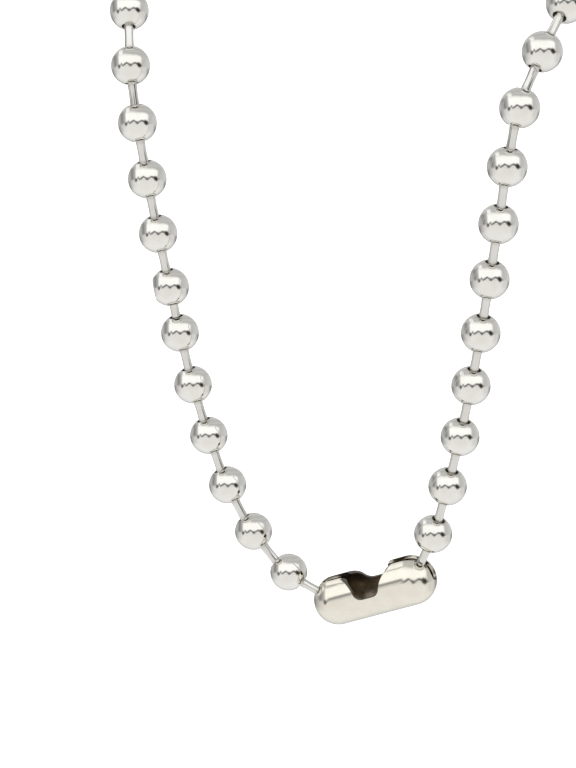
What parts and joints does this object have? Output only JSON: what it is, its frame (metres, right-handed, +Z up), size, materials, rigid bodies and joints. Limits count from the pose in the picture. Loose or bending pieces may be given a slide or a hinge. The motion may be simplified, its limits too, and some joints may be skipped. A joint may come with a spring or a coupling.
{
  "type": "ball chain necklace",
  "caption": "Ball chain necklace of hollow polished steel balls on short dumbbell links, hanging in a deep loop and closed by a slotted rod-shaped clasp.",
  "frame": {"origin": "the skin side of the chain at the nape, where the neck carries it", "axes": "+Z up, -Y the front where the chain hangs, +X the viewer's right"},
  "size_m": [0.1271, 0.1045, 0.1931],
  "materials": {
    "ball_steel": "polished, slightly warm, with faint fine scratches",
    "link_steel": "drawn wire, polished",
    "clasp_steel": "polished sheet with softened edges"
  },
  "bodies": {
    "root": {"ball_01": "ball_steel", "ball_02": "ball_steel", "ball_03": "ball_steel", "ball_04": "ball_steel", "ball_05": "ball_steel", "ball_06": "ball_steel", "ball_07": "ball_steel", "ball_08": "ball_steel", "ball_09": "ball_steel", "ball_10": "ball_steel", "ball_11": "ball_steel", "ball_12": "ball_steel", "ball_13": "ball_steel", "ball_14": "ball_steel", "ball_15": "ball_steel", "ball_16": "ball_steel", "ball_17": "ball_steel", "ball_18": "ball_steel", "ball_19": "ball_steel", "ball_20": "ball_steel", "ball_21": "ball_steel", "ball_22": "ball_steel", "ball_23": "ball_steel", "ball_24": "ball_steel", "ball_25": "ball_steel", "ball_26": "ball_steel", "ball_27": "ball_steel", "ball_28": "ball_steel", "ball_29": "ball_steel", "ball_30": "ball_steel", "ball_31": "ball_steel", "ball_32": "ball_steel", "ball_33": "ball_steel", "ball_34": "ball_steel", "ball_35": "ball_steel", "ball_36": "ball_steel", "ball_37": "ball_steel", "ball_38": "ball_steel", "ball_39": "ball_steel", "ball_40": "ball_steel", "links": "link_steel", "clasp": "clasp_steel"}
  },
  "joints": []
}
